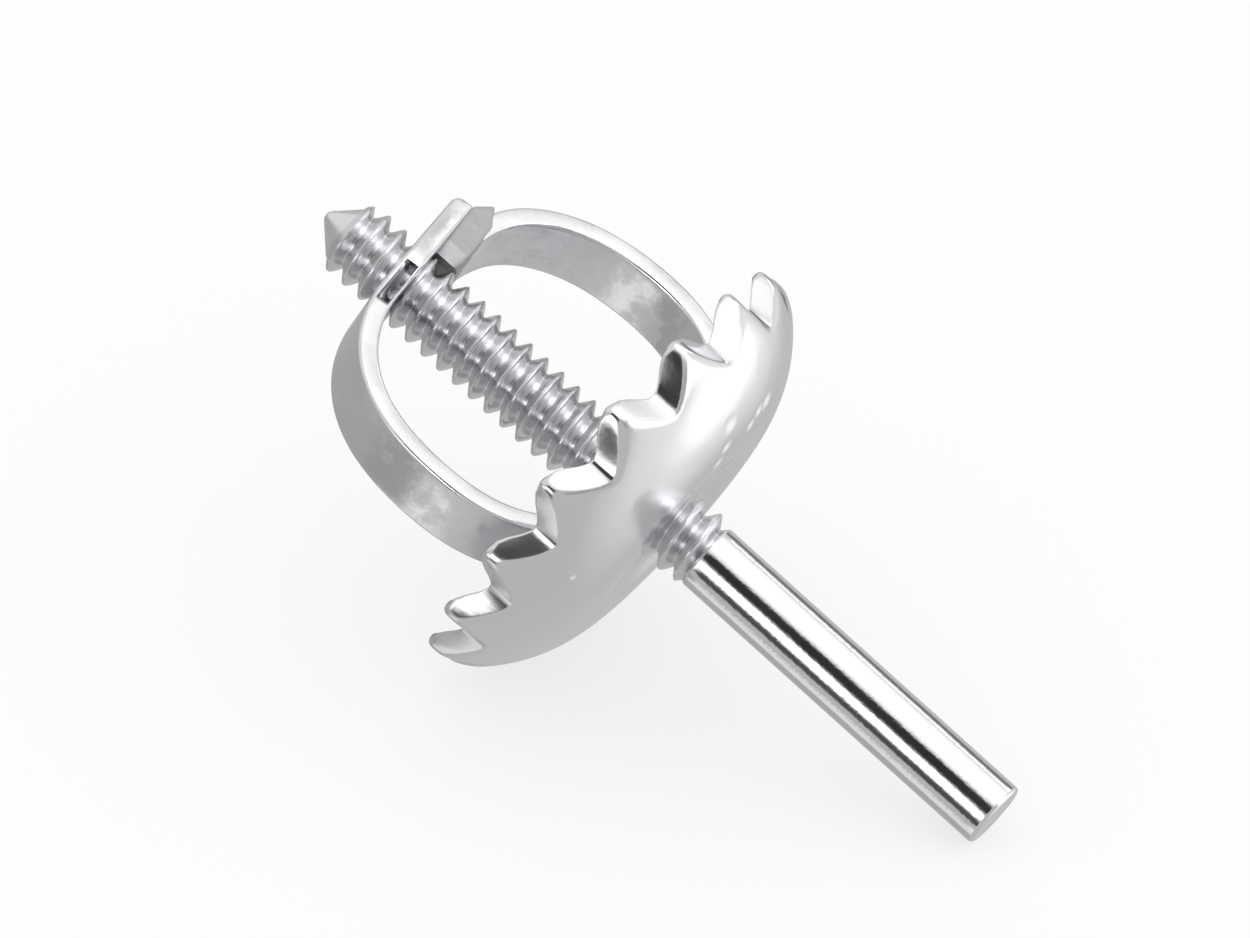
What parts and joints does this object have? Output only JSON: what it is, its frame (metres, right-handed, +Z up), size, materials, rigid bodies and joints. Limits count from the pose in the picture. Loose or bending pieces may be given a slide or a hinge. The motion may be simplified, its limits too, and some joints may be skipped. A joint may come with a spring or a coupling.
{
  "type": "threaded earring post with screw back",
  "caption": "Polished jewellery finding: a round wire post with a rolled thread and a cone tip, and a toothed cup with a soldered bow that screws onto it.",
  "frame": {"origin": "middle of the part's footprint, on the surface that it lies on: the edge of the post's flat end and two teeth of the cup touch it", "axes": "+X is the part's long way, towards the post's flat end and level; +Z is up, away from the surface it lies on; the post's own axis lies in the XZ plane and rises towards the tip at 23.0 degrees"},
  "size_m": [0.0106, 0.0062, 0.0059],
  "materials": {
    "post": "polished",
    "cup": "polished",
    "bow": "polished",
    "foot_solder": "polished",
    "seam_solder": "polished"
  },
  "bodies": {
    "post": {"post": "post"},
    "pool": {"foot_solder": "foot_solder"},
    "back": {"cup": "cup", "bow": "bow", "seam_solder": "seam_solder"}
  },
  "joints": [
    {"name": "back_travel", "type": "slide", "parent": "post", "child": "pool", "axis": [-0.9208, 0, 0.39], "range_m": [-0.00048, 0.00547]},
    {"name": "back_turn", "type": "hinge", "parent": "pool", "child": "back", "pos_m": [0.00016, 0, 0.0025], "axis": [-0.9208, 0, 0.39], "range_deg": [-648, 7380]}
  ],
  "couplings": [
    {"joint": "back_turn", "follows": "back_travel", "rad_per_m": 23533}
  ]
}
